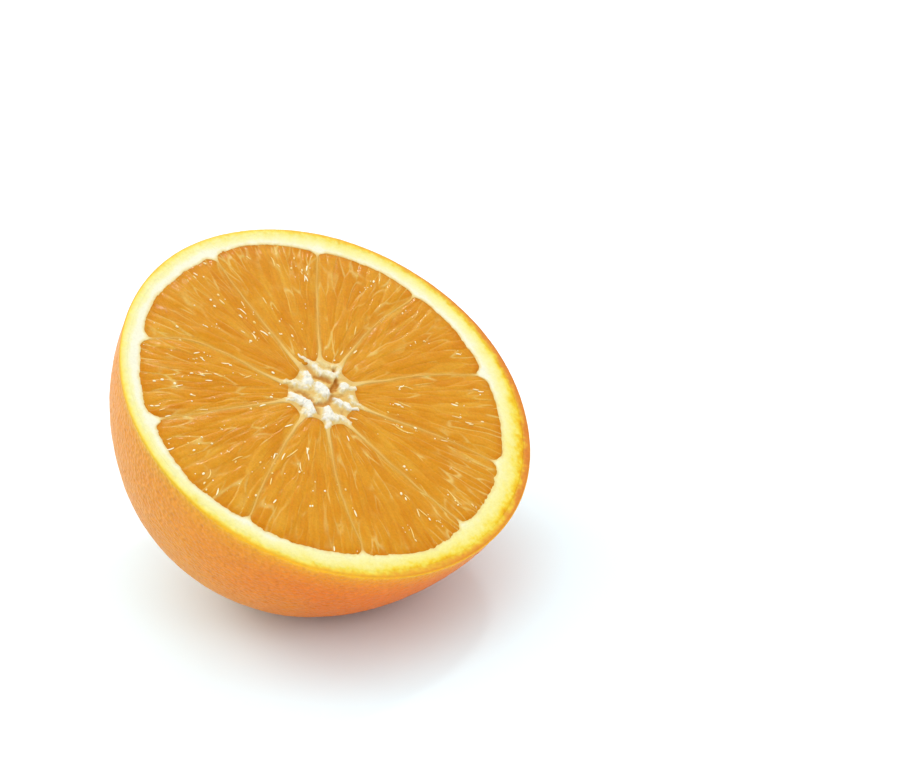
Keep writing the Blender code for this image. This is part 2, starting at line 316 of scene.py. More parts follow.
def closed_grid(rows, columns, first_tip, last_tip):
    """Quads of a grid that closes round its columns, and triangles to a tip at each end."""
    grid = np.arange(rows * columns).reshape(rows, columns)
    turned = np.roll(grid, -1, axis=1)
    quads = np.stack([grid[:-1], grid[1:], turned[1:], turned[:-1]], axis=-1).reshape(-1, 4)
    return quads, np.concatenate([fan(grid[0], first_tip)[:, ::-1], fan(grid[-1], last_tip)])


def facing_out(points, quads, tris):
    """The faces, turned round if they face inward."""
    a, b, c, d = (points[quads[:, k]] for k in range(4))
    volume = (a * np.cross(b, c)).sum() + (a * np.cross(c, d)).sum()
    a, b, c = (points[tris[:, k]] for k in range(3))
    volume += (a * np.cross(b, c)).sum()
    return (quads[:, ::-1], tris[:, ::-1]) if volume < 0.0 else (quads, tris)


# Plan of the cut face

def wall_angle(index, radius):
    """Direction of a wall at a distance from the core's middle, in radians."""
    wall = index % COUNT
    far, drift, near, bow = np.moveaxis(WALLS[wall], -1, 0)
    share = np.clip((radius - 8.0) / (ARC_RADIUS - 8.0), 0.0, 1.0)
    turn = far + drift * (1.0 - share) + bow * np.sin(math.pi * share)
    turn = turn + near * decay(radius - 5.5, 2.2)
    sway = noise(radius / 3.6, 4.3 * wall, 0.5, 31) + 0.5 * noise(radius / 1.5, 4.3 * wall, 0.5, 32)
    return np.radians(turn) + 0.20 * sway * smooth(7.0, 10.0, radius) / np.maximum(radius, 5.0)


def wall_pair(index, radius):
    """Directions of the walls on both sides of a segment."""
    lap = np.where(index == COUNT - 1, TAU, 0.0)
    return wall_angle(index, radius), wall_angle(index + 1, radius) - lap


def between_walls(index, share, radius):
    """Direction of a place in a segment, by its share of the way from wall to wall."""
    start, stop = wall_pair(index, radius)
    return start + (stop - start) * share


def pulp_reach(angle):
    """Distance from the core's middle to the edge of the pulp in a direction."""
    x = CORE_CENTRE[0] + PULP_RADIUS * np.cos(angle)
    y = CORE_CENTRE[1] + PULP_RADIUS * np.sin(angle)
    swell = np.interp(np.degrees(np.arctan2(y, x)) % 360.0, *PULP_SWELLS.T)
    ox = CORE_CENTRE[0] - PULP_CENTRE[0]
    oy = CORE_CENTRE[1] - PULP_CENTRE[1]
    along = ox * np.cos(angle) + oy * np.sin(angle)
    across = ox ** 2 + oy ** 2 - PULP_RADIUS ** 2
    return np.sqrt(along ** 2 - across) - along + swell


def rim_reach(angle, radius):
    """Distance from the core's middle to a circle about the middle of the cut face."""
    along = CORE_CENTRE[0] * np.cos(angle) + CORE_CENTRE[1] * np.sin(angle)
    across = CORE_CENTRE[0] ** 2 + CORE_CENTRE[1] ** 2 - radius ** 2
    return np.sqrt(along ** 2 - across) - along


def ragged_edge(x, y):
    """How far the pith's inner edge wanders, in mm."""
    wander = 0.30 * plane_noise(x, y, 3.1, 41) + 0.22 * plane_noise(x, y, 0.9, 43)
    return wander + 0.19 * plane_noise(x, y, 0.42, 45)


# Cut edge of rind and pith

# By direction in degrees: depth under the skin where the colour starts to pale, and how fast. The
# change by direction is partly the rind's own and partly painted light and shade: the cut edge pales
# sooner on the left, toward the lamps, and stays a deeper orange on the right, where the rim turns
# from the light.
PALING_AND_PAINTED_LIGHT = np.array([
    (0, 1.2, 0.75), (45, 0.7, 1.35), (90, -0.3, 1.0), (135, -0.45, 1.6), (180, -0.30, 1.9),
    (225, -0.6, 1.5), (255, -0.3, 1.2), (290, 0.0, 0.75), (330, 0.6, 0.8), (360, 1.2, 0.75),
])


def cut_glands(x, y):
    """Distance to the nearest oil gland in the cut, in gland pitches, and how marked it is."""
    return cells(x / 0.75, y / 0.75, np.full(x.shape, 0.5), 33)


def cut_relief(x, y):
    """Height of the cut ring: a little fuzz, with small pits at the oil glands by the skin."""
    under = RADIUS - np.hypot(x, y)
    fuzz = 0.025 * rough_noise(x / 0.7, y / 0.7, 0.5, 81) + 0.04 * plane_noise(x, y, 3.0, 83)
    gland, mark = cut_glands(x, y)
    pit = 0.05 * bell(gland / 0.34) * mark * smooth(1.5, 0.9, under)
    return fuzz - pit - 0.03


def cut_colour(x, y):
    """Colour of the cut ring by its depth under the skin, with painted light and shade by direction.
    """
    angle = np.degrees(np.arctan2(y, x)) % 360.0
    # the table by direction holds painted light and shade as well as the rind's own change
    turns, starts, rates = PALING_AND_PAINTED_LIGHT.T
    rate = np.interp(angle, turns, rates) * (1.0 + 0.12 * plane_noise(x, y, 5.0, 55))
    depth = RADIUS - np.hypot(x, y)
    grain = 0.55 * plane_noise(x, y, 1.7, 57) + 0.50 * plane_noise(x, y, 0.62, 58)
    grain = grain + 0.30 * plane_noise(x, y, 0.31, 59)
    gland, mark = cut_glands(x, y)
    spot = bell(gland / 0.30) * (mark - 0.35)
    value = (depth - np.interp(angle, turns, starts)) * rate + grain * smooth(0.1, 1.2, depth)
    value = value - 0.45 * spot * smooth(1.7, 0.8, depth)
    return ramp(value, CUT_STOPS)


# Rind

# Sides of the rind
INNER_SIDE, CUT_EDGE, SKIN = range(3)


def flat_ring(angle, radius, height):
    """Ring of points about the middle of the cut face."""
    ring = np.broadcast_arrays(radius * np.cos(angle), radius * np.sin(angle), height)
    return np.stack(ring, axis=-1)


def rind_rings(angle, skin_rows):
    """Rings of points from the inner pole over the cut edge to the outer pole.

    Each comes with its side of the rind and its share of the skin's colour over the cut's.
    """
    rings = []
    for turn in np.radians(np.linspace(86.0, 1.2, 12)):
        rings.append((body_point(angle, turn, RIND_WALL), INNER_SIDE, 0.0))
    # the first two rings of the cut edge lie close together, for a crisp inner corner
    ripple = skin_ripple(angle, 0.0)
    start = RADIUS - RIND_WALL + 0.02
    for radius in [start, start + 0.006, *np.linspace(start + 0.12, RADIUS - CORNER - 0.02, 8)]:
        share = (radius - (RADIUS - RIND_WALL)) / RIND_WALL
        rings.append((flat_ring(angle, radius - ripple * share, 0.0), CUT_EDGE, 0.0))
    # rounded outer corner
    for bend, share in zip(np.radians([25.0, 50.0, 75.0]), (0.35, 0.85, 1.0)):
        radius = RADIUS - ripple - CORNER * (1.0 - np.sin(bend))
        rings.append((flat_ring(angle, radius, CORNER * (np.cos(bend) - 1.0)), CUT_EDGE, share))
    for turn in np.linspace(math.asin((CORNER + 0.02) / DEPTH), math.radians(89.3), skin_rows):
        rings.append((body_point(angle, turn, skin_ripple(angle, turn)), SKIN, 1.0))
    return rings


def rind_relief(points):
    """Height of the skin's relief, uneven and dimpled over the oil glands, and the dimples alone."""
    bent = points + 0.35 * np.stack([noise_at(points, 1.7, seed) for seed in (5, 6, 7)], axis=-1)
    near, mark = cells(*(bent / 1.15).T, 11)
    pore = bell(near / 0.36) * (0.45 + 0.55 * mark)
    broad, middle, fine = (noise_at(points, *pair) for pair in ((6.0, 21), (2.4, 22), (0.8, 23)))
    relief = 0.05 * (broad - 1.0) + 0.03 * (middle - 1.0) + 0.025 * (fine - 1.0)
    return relief - 0.17 * pore, pore


def rind_colour(points, outward, pore, from_pole, turned):
    """Colour of the rind: the skin with painted light and shade by where it faces, a painted yellow
    glow by the cut, and the cut edge.
    """
    broad = rough_noise(*(points / 14.0).T, 51)
    facing = outward @ AXES
    # painted light and shade: the skin is paler and yellower on the side toward the lamps and a
    # redder, deeper orange on the side turned away; the back keeps a plain skin colour
    toward_light = facing @ PAINTED_LIGHT_SIDE + 0.10 * broad
    back = smooth(-0.05, 0.85, facing[:, 1] + 0.06 * broad)
    skin = blend(ramp(toward_light, SKIN_LIGHT_AND_SHADE_STOPS), SKIN_BACK, back)
    skin = blend(skin, SKIN_PORE, 0.30 * pore)
    speck = noise_at(points, 0.55, 53)
    skin = skin * (1.0 + 0.05 * speck)[:, None]
    scar = bell(from_pole / 1.1) * (0.75 + 0.25 * speck)
    skin = blend(skin, SCAR_COLOUR, np.clip(scar, 0.0, 1.0))
    # painted glow: a yellow band on the skin just under the cut, widest and brightest on the side
    # turned away from the lamps
    below = -points[:, 2] + 0.35 * noise_at(points, 0.9, 54)
    glow = blend(ramp(toward_light, PAINTED_GLOW_STOPS), PAINTED_GLOW_BACK, back)
    glow_depth = np.interp(toward_light, [-0.45, 0.3], [2.3, 1.1])
    skin = blend(skin, glow, 0.85 * decay(np.minimum(below, 9.0), glow_depth))
    skin = blend(glow, skin, smooth(0.2, 0.9, below))
    return blend(cut_colour(points[:, 0], points[:, 1]), skin, turned)


def build_rind(material):
    columns, skin_rows = ((820, 190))
    rings = rind_rings(np.arange(columns) * TAU / columns, skin_rows)
    poles = [body_point(np.zeros(1), math.pi / 2.0, inset) for inset in (RIND_WALL, 0.0)]
    points = np.concatenate([ring for ring, _, _ in rings] + poles)
    side = np.append(np.repeat([part for _, part, _ in rings], columns), [INNER_SIDE, SKIN])
    turned = np.append(np.repeat([share for _, _, share in rings], columns), [0.0, 1.0])

    outward = points - np.array([-1.0, -0.5, 0.0])
    outward /= np.linalg.norm(outward, axis=1)[:, None]
    relief, pore = rind_relief(points)
    skin = side == SKIN
    inner = side == INNER_SIDE
    from_pole = np.hypot(points[:, 0] - POLE_SHIFT[0], points[:, 1] - POLE_SHIFT[1])
    points = points + outward * (relief * smooth(0.0, 1.2, -points[:, 2]) * skin)[:, None]
    points[:, 2] += skin * SCAR_DEPTH * bell(from_pole / SCAR_RADIUS)
    points[:, 2] += (side == CUT_EDGE) * cut_relief(points[:, 0], points[:, 1])
    placed = settle(points, 0.0)
    placed[inner] = settle(points[inner], RIND_WALL)

    tint = rind_colour(points, outward, pore, from_pole, turned)
    tint[inner] = CUT_STOPS[-1][1]
    tint = np.column_stack([tint, skin])
    first_pole = len(points) - 2
    faces = closed_grid(len(rings), columns, first_pole, first_pole + 1)
    return add_piece("rind_skin", placed, faces, tint, material, "rind")


# Pith, with the walls and the core

# Bright chunks of the core about its middle: from, to, half width, rise and whiteness
CORE_CHUNKS = [
    (-0.4, 1.2, 0.4, 0.2, 1.0, 1.25, 1.0),
    (-0.3, -0.9, -1.1, -1.8, 0.8, 0.30, 0.35),
    (-3.2, 3.1, -2.8, 1.8, 0.95, 1.15, 0.95),
    (-5.3, 0.8, -2.6, 0.9, 0.75, 0.65, 0.65),
    (-7.2, 0.3, -4.6, 1.4, 0.35, 0.45, 0.5),
    (-5.5, -2.6, -3.8, -2.9, 0.8, 0.85, 0.9),
    (-2.7, -3.4, -2.0, -4.7, 0.95, 1.05, 1.0),
    (-3.1, -5.5, -2.4, -5.8, 0.7, 0.75, 0.8),
    (-6.8, -3.8, -5.3, -3.1, 0.4, 0.55, 0.7),
    (1.0, -3.8, 1.5, -4.6, 0.85, 1.25, 1.0),
    (0.8, -5.5, 2.8, -5.1, 0.8, 0.95, 0.9),
    (1.3, -6.2, 1.5, -7.8, 0.4, 0.65, 0.8),
    (2.7, -1.1, 3.3, -1.5, 0.7, 1.05, 0.95),
    (4.4, -1.7, 5.1, -2.0, 0.6, 0.95, 0.95),
    (5.3, -2.1, 6.9, -1.7, 0.25, 0.55, 0.8),
    (3.8, 2.4, 4.5, 2.7, 0.75, 0.95, 0.85),
    (4.7, 2.4, 6.4, 3.0, 0.4, 0.55, 0.7),
    (5.5, 0.6, 6.3, -0.4, 0.55, 0.65, 0.6),
    (6.3, -0.5, 8.2, -1.1, 0.35, 0.5, 0.5),
    (3.9, -4.5, 5.5, -5.6, 0.65, 0.55, 0.65),
    (-4.8, 7.6, -1.9, 6.2, 0.55, 0.42, 0.66),
    (-1.9, 6.2, 0.0, 4.9, 0.68, 0.45, 0.72),
    (0.0, 4.9, 2.4, 5.0, 0.75, 0.45, 0.68),
    (2.4, 5.0, 3.3, 7.2, 0.55, 0.4, 0.6),
    (-0.8, 7.5, 0.6, 6.9, 0.5, 0.35, 0.35),
    (1.5, 7.0, 3.0, 7.7, 0.4, 0.45, 0.45),
]

# Sunken places between the chunks: from, to, half width and depth
CORE_VALLEYS = [
    (-3.2, 5.6, -1.4, 3.9, 0.8, 0.9),
    (-1.3, 3.7, 1.3, 3.5, 0.75, 1.4),
    (2.0, 1.4, 2.8, 3.9, 0.5, 2.2),
    (-1.2, -2.9, 1.1, -2.2, 0.6, 1.2),
    (1.1, -2.2, 2.0, 0.0, 0.5, 1.2),
    (-7.0, -0.5, -4.7, -0.8, 0.5, 0.7),
    (-4.7, -0.8, -1.5, -2.1, 0.55, 1.1),
    (-1.4, -2.3, -0.6, -4.8, 0.45, 1.0),
    (2.0, -0.3, 3.9, 0.8, 0.4, 0.8),
    (2.3, 6.2, 2.4, 6.2, 0.45, 1.7),
    (-3.8, -4.0, -3.8, -4.1, 0.3, 0.9),
    (3.8, -3.0, 4.1, -3.7, 0.4, 0.7),
]


def strip_distance(x, y, ends):
    x0, y0, x1, y1 = ends
    dx, dy = x1 - x0, y1 - y0
    along = ((x - x0) * dx + (y - y0) * dy) / (dx * dx + dy * dy + 1e-9)
    along = np.clip(along, 0.0, 1.0)
    return np.hypot(x - x0 - along * dx, y - y0 - along * dy)


def core_field(x, y):
    """Rise, whiteness and depth of the core's chunks and valleys, and how far outside them."""
    wx = x + 0.42 * plane_noise(x, y, 1.0, 61) + 0.20 * plane_noise(x, y, 0.4, 62)
    wy = y + 0.42 * plane_noise(x, y, 1.0, 63, 7.5) + 0.20 * plane_noise(x, y, 0.4, 64, 7.5)
    rise = np.zeros(x.shape)
    white = np.zeros(x.shape)
    outside = np.full(x.shape, 9.0)
    for *ends, width, height, pale in CORE_CHUNKS:
        away = strip_distance(wx, wy, ends) / width
        rise = np.maximum(rise, height * smooth(1.25, 0.55, away))
        white = np.maximum(white, pale * smooth(1.9, 0.45, away))
        outside = np.minimum(outside, (away - 0.9) * width)
    depth = np.zeros(x.shape)
    for *ends, width, dip in CORE_VALLEYS:
        away = strip_distance(wx, wy, ends) / width
        depth = np.maximum(depth, dip * bell(away))
    return rise, white, depth * (1.0 - 0.8 * np.clip(rise, 0.0, 1.0)), outside


def wall_half_width(wall, radius):
    wander = noise(radius / 2.6, wall * 3.7, 0.5, 71) + 0.5 * noise(radius / 0.9, wall * 3.7, 2.5, 71)
    return 0.15 + 0.30 * decay(radius - 7.0, 2.6) + 0.05 * wander


def wall_crest(wall, radius):
    """Height of a wall's edge over the cut plane: proud near the core, sinking outward."""
    wander = noise(radius / 4.2, wall * 5.3, 0.5, 76) + 0.4 * noise(radius / 1.4, wall * 5.3, 3.5, 76)
    return 0.12 * decay(radius - 7.0, 6.0) - 0.02 + 0.07 * wander


def edge_notch(to_start, to_stop, index):
    """How far the pith reaches in by the walls on either side of a segment."""
    start = NOTCHES[index] * bell(to_start / 1.15)
    stop = NOTCHES[(index + 1) % COUNT] * bell(to_stop / 1.15)
    return np.maximum(start, stop)


def soft_min(*values):
    pitch = 0.34
    total = 0.0
    for value in values:
        total = total + np.exp(-np.clip(value, -4.0, 6.0) / pitch)
    return -pitch * np.log(total)


def rows_to(start, stop, count):
    """Rows of a mesh from just past the start up to the stop."""
    return mix(start, stop, np.arange(1, count + 1)[:, None] / count)


def pith_plan():
    """Columns of the pith's mesh as segments and shares of them, and its rows from the rim inward."""
    crowded, middle, core_rows, wall_rows, edge_rows, ring_rows = 22, 54, 62, 36, 20, 18
    by_wall = 0.10 * (np.arange(crowded + 1) / crowded) ** 1.2
    spread = np.linspace(0.10, 0.90, middle, endpoint=False)
    shares = np.concatenate([by_wall[:-1], spread, 1.0 - by_wall[:0:-1]])
    index = np.repeat(np.arange(COUNT), len(shares))
    share = np.tile(shares, COUNT)
    angle = between_walls(index, share, ARC_RADIUS)
    start = pulp_reach(angle) - EDGE_INSIDE
    stop = pulp_reach(angle) + EDGE_OUTSIDE
    rows = [
        rows_to(0.0 * angle, CORE_REACH, core_rows),
        rows_to(CORE_REACH, start, wall_rows),
        rows_to(start, stop, edge_rows),
        rows_to(stop, rim_reach(angle, RADIUS - PITH_INSET), ring_rows),
    ]
    return index, share, np.concatenate(rows)[::-1]


def pith_colour(x, y, radius, wall, to_edge, white, sunk, inside):
    """Colour of the pith: by depth from the skin in the ring, with the cut ring's painted light and
    shade by direction, and paler toward the core.
    """
    ring = blend(cut_colour(x, y), PITH_EDGE, 0.8 * smooth(0.8, 0.0, -to_edge))
    fade = np.clip(0.35 + 0.75 * noise(radius / 3.4, wall * 7.7, 0.5, 99), 0.0, 1.0)
    walls = blend(ramp(radius, WALL_STOPS), PULP_MAIN, 0.6 * fade * smooth(9.0, 17.0, radius))
    walls = walls * (1.0 + 0.06 * plane_noise(x, y, 1.3, 87))[..., None]
    speck = 0.24 * plane_noise(x, y, 0.5, 89) + 0.22 * plane_noise(x, y, 0.26, 90)
    bright = np.clip(white + speck * smooth(0.0, 0.3, white), 0.0, 1.0)
    core = ramp(bright, [(0.0, CORE_TAN), (0.40, CORE_CREAM), (0.85, CORE_WHITE)])
    core = blend(core, CORE_DEEP, smooth(0.30, 1.4, sunk))
    core_share = np.maximum(1.0 - smooth(6.2, 8.6, radius), 0.85 * smooth(0.25, 0.6, white))
    tint = blend(blend(walls, core, core_share), ring, smooth(-0.9, 0.25, -to_edge))
    return blend(tint, PULP_MAIN, 0.95 * smooth(0.05, 0.5, inside))


def pith_top(index, share, radius):
    """Points of the cut ring, the walls and the core, with the chambers sunk, and their colours."""
    angle = between_walls(index, share, radius)
    x = CORE_CENTRE[0] + radius * np.cos(angle)
    y = CORE_CENTRE[1] + radius * np.sin(angle)
    start, stop = wall_pair(index, radius)
    to_start = (start - stop) * radius * share
    to_stop = (start - stop) * radius * (1.0 - share)
    wall = np.where(to_start < to_stop, index, (index + 1) % COUNT)
    to_edge = pulp_reach(angle) - radius + ragged_edge(x, y) - edge_notch(to_start, to_stop, index)
    rise, white, sunk, outside = core_field(x - CORE_CENTRE[0], y - CORE_CENTRE[1])
    inside = soft_min(
        to_edge,
        to_start - wall_half_width(index, radius),
        to_stop - wall_half_width((index + 1) % COUNT, radius),
        radius - TIPS[index] - 0.5 * (2.0 * share - 1.0) ** 2,
        outside + 0.2,
    )
    grit = 0.10 * rough_noise(x / 0.42, y / 0.42, 0.5, 85)
    core = -0.02 + 0.48 * rise - 0.42 * sunk + grit * (0.45 + rise)
    top = mix(wall_crest(wall, radius), core, 1.0 - smooth(6.6, 9.0, radius))
    top = mix(top, cut_relief(x, y), smooth(-0.9, 0.25, -to_edge))
    past = np.maximum(inside + 0.08, 0.0)
    drop = np.where(past < 0.16, past ** 2 / 0.16, 0.16 + (past - 0.16) * 2.4)
    away = np.hypot(x - PULP_CENTRE[0], y - PULP_CENTRE[1]) / (PULP_RADIUS + 0.6)
    chamber = PULP_DEPTH * np.sqrt(np.maximum(1.0 - away ** 2, 0.0)) + 0.4
    by_rind = smooth(RIND_WALL, RIND_WALL - 0.10, RADIUS - np.hypot(x, y))
    height = top - np.minimum(drop, chamber) - 0.10 * by_rind
    tint = pith_colour(x, y, radius, wall, to_edge, white, sunk, inside)
    return np.stack([x, y, height], axis=-1), tint


def build_pith(material):
    top, tint = pith_top(*pith_plan())
    columns = top.shape[1]
    rim_angle = np.arctan2(top[0, :, 1], top[0, :, 0])
    turns = np.radians(np.linspace(86.0, 2.5, 12))
    bowl = np.concatenate([body_point(rim_angle, turn, PITH_INSET) for turn in turns])
    core_middle = np.array([[*CORE_CENTRE, 0.35]])
    pole = body_point(np.zeros(1), math.pi / 2.0, PITH_INSET)
    placed = np.concatenate([
        settle(bowl, PITH_LEVEL),
        to_frame(top.reshape(-1, 3)),
        to_frame(core_middle),
        settle(pole, PITH_LEVEL),
    ])
    below = np.broadcast_to(CUT_STOPS[-2][1], (len(bowl), 3))
    tint = np.concatenate([below, tint.reshape(-1, 3), CORE_WHITE[None, :], below[:1]])
    core_tip = len(placed) - 2
    quads, tris = closed_grid(len(turns) + len(top), columns, core_tip + 1, core_tip)
    faces = quads[:, ::-1], tris[:, ::-1]
    return add_piece("pith_body", placed, faces, tint, material, "pith")


# Pulp

# Beads on each segment, coloured pale as painted glints of light on the pulp
GLINT_BEAD_COUNTS = [42, 30, 14, 14, 28, 32, 22, 28, 44, 54]

# Kinds of bead: share of all up to this kind, range of half length, range of half width.
# The last kind is a long bowed streak.
GLINT_BEAD_KINDS = [
    (0.46, (0.08, 0.16), (0.07, 0.13)),
    (0.68, (0.17, 0.34), (0.13, 0.23)),
    (0.93, (0.32, 0.95), (0.08, 0.15)),
    (1.00, (1.0, 2.2), (0.09, 0.14)),
]

# How clearly each segment shows pale threads by its outer edge: partly the sacs' own fibres, partly a
# painted highlight
THREADS = [1.0, 0.9, 0.6, 0.5, 0.7, 0.6, 0.35, 0.5, 0.9, 1.0]


def scatter_sacs(index, chance):
    """Juice sacs of one segment: middle, half length, half width, direction, rise, tone, edge."""
    draw = chance.uniform
    sacs = []
    row = 0
    radius = TIPS[index] + 2.0
    while radius < 38.0:
        start, stop = wall_pair(index, np.array(radius))
        arc = float((start - stop) * radius)
        count = max(2, int(round(arc / 2.05)))
        for k in range(-1, count + 1):
            slide = 0.5 * (row % 2) + draw(-0.3, 0.3)
            share = (k + 0.5 + slide) / count
            r = radius + draw(-2.6, 2.6)
            angle = float(start - (start - stop) * share)
            tilt = draw(-0.13, 0.13) + 0.22 * (share - 0.5)
            sacs.append((
                r * math.cos(angle),
                r * math.sin(angle),
                draw(5.0, 8.0),
                draw(0.85, 1.3),
                angle - tilt,
                draw(-1.0, 1.0),
                draw(-1.0, 1.0),
                draw(0.0, 1.0),
            ))
        radius += draw(5.2, 6.6)
        row += 1
    return np.array(sacs)


def sac_field(x, y, sacs):
    """Width of the gap to the next sac, blended rise and tone, and how pale the sac's edge is."""
    first = np.full(x.shape, 1e9)
    second = np.full(x.shape, 1e9)
    pale = np.zeros(x.shape)
    pale_next = np.zeros(x.shape)
    scores = []
    for px, py, length, width, turn, _, _, edge in sacs:
        dx, dy = x - px, y - py
        along = dx * math.cos(turn) + dy * math.sin(turn)
        across = -dx * math.sin(turn) + dy * math.cos(turn)
        d = (along / length) ** 2 + (across / width) ** 2
        scores.append(d)
        closer = d < first
        next_one = ~closer & (d < second)
        second = np.where(closer, first, np.where(next_one, d, second))
        pale_next = np.where(closer, pale, np.where(next_one, edge, pale_next))
        first = np.where(closer, d, first)
        pale = np.where(closer, edge, pale)
    weight_sum = np.zeros(x.shape)
    rise = np.zeros(x.shape)
    tone = np.zeros(x.shape)
    for d, sac in zip(scores, sacs):
        weight = np.exp(-9.0 * np.minimum(d - first, 20.0))
        weight_sum += weight
        rise += weight * sac[5]
        tone += weight * sac[6]
    gap = np.sqrt(second) - np.sqrt(first)
    return gap, rise / weight_sum, tone / weight_sum, np.maximum(pale, pale_next)


def scatter_glint_beads(index, chance, top, angle, near_side, lines, beads):
    """Picks places for small beads painted pale as glints on a segment: dots, and dashes drawn out
    along the sacs.
    """
    draw = chance.uniform
    rows, columns = angle.shape
    wanted = GLINT_BEAD_COUNTS[index]
    i, j = rows // 2, columns // 2
    grouped = False
    while wanted > 0:
        if grouped:
            i = int(np.clip(i + chance.normal(0.0, 0.045 * rows), 2, rows - 3))
            j = int(np.clip(j + chance.normal(0.0, 0.04 * columns), 2, columns - 3))
        else:
            i = int(chance.integers(2, rows - 2))
            j = int(chance.integers(2, columns - 2))
        if near_side[i, j] < 0.15:
            grouped = False
            continue
        pull = 0.25 + 0.9 * lines[i, j] + 0.45 * math.exp(-near_side[i, j] / 0.8)
        reach = math.hypot(top[i, j, 0] - CORE_CENTRE[0], top[i, j, 1] - CORE_CENTRE[1])
        if not grouped and draw() > pull * reach / 30.0:
            continue
        grouped = draw() < 0.55 and reach > 13.0
        turn = angle[i, j] + chance.normal(0.0, 0.28)
        kind = draw()
        streak = kind > GLINT_BEAD_KINDS[-2][0]
        if streak and near_side[i, j] < 1.6:
            continue
        bow = draw(-0.15, 0.15)
        # how pale the bead is: the strength of its painted glint
        pale = 0.75 * draw(0.0, 1.0) ** 1.3
        lengths, widths = next(ranges for share, *ranges in GLINT_BEAD_KINDS if kind <= share)
        half = (draw(*lengths), draw(*widths))
        if streak:
            bow = draw(-0.35, 0.35)
            pale = 0.0
        beads.append((*top[i, j], turn, *half, bow, pale))
        wanted -= 1


def build_glint_beads(beads, material):
    """All the beads as one mesh of small drawn-out balls, half sunk in the pulp, coloured pale as
    painted glints.
    """
    around, rows = 12, 9
    lat = np.radians(np.linspace(-78.0, 78.0, rows))[:, None]
    lon = np.arange(around)[None, :] * TAU / around
    ball = np.broadcast_arrays(np.sin(lat), np.cos(lat) * np.cos(lon), np.cos(lat) * np.sin(lon))
    ball = np.stack(ball, axis=-1).reshape(-1, 3)
    ball = np.concatenate([ball, [[-1.0, 0.0, 0.0], [1.0, 0.0, 0.0]]])
    ball_quads, ball_tris = closed_grid(rows, around, len(ball) - 2, len(ball) - 1)
    spots, quads, tris = [], [], []
    for x, y, z, turn, length, width, bow, _ in beads:
        quads.append(ball_quads + len(spots) * len(ball))
        tris.append(ball_tris + len(spots) * len(ball))
        shape = ball * np.array([length, width, 0.8 * width])
        shape[:, 1] += bow * length * ball[:, 0] ** 2
        px = x + shape[:, 0] * math.cos(turn) - shape[:, 1] * math.sin(turn)
        py = y + shape[:, 0] * math.sin(turn) + shape[:, 1] * math.cos(turn)
        spots.append(np.stack([px, py, z + 0.25 * width + shape[:, 2]], axis=-1))
    placed = to_frame(np.concatenate(spots))
    faces = facing_out(placed, np.concatenate(quads), np.concatenate(tris))
    pale = np.repeat([bead[-1] for bead in beads], len(ball))
    # the beads' pale colour is a painted glint
    tint = ramp(pale, [(0.0, GLINT_DIM), (0.5, GLINT_PALE)])
    return add_piece("painted_glint_beads", placed, faces, tint, material, None)


def segment_grid(index):
    """Grid over a segment, from its tip outward.

    Gives direction and distance from the core's middle, width between the walls, and share of it.
    """
    columns, rows = ((150, 215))
    across = np.linspace(0.0, 1.0, columns + 1)[None, :]
    outward = np.linspace(0.0, 1.0, rows + 1)[:, None]
    tip = TIPS[index] - PULP_MARGIN
    middle = between_walls(index, 0.5, ARC_RADIUS)
    radius = mix(tip, pulp_reach(middle) + PULP_MARGIN, outward) + 0.0 * across
    for _ in range(2):
        start, stop = wall_pair(index, radius)
        margin = 0.10 / radius
        angle = mix(start - margin, stop + margin, across)
        radius = mix(tip, pulp_reach(angle) + PULP_MARGIN, outward)
    return angle, radius, (start - stop) * radius, across


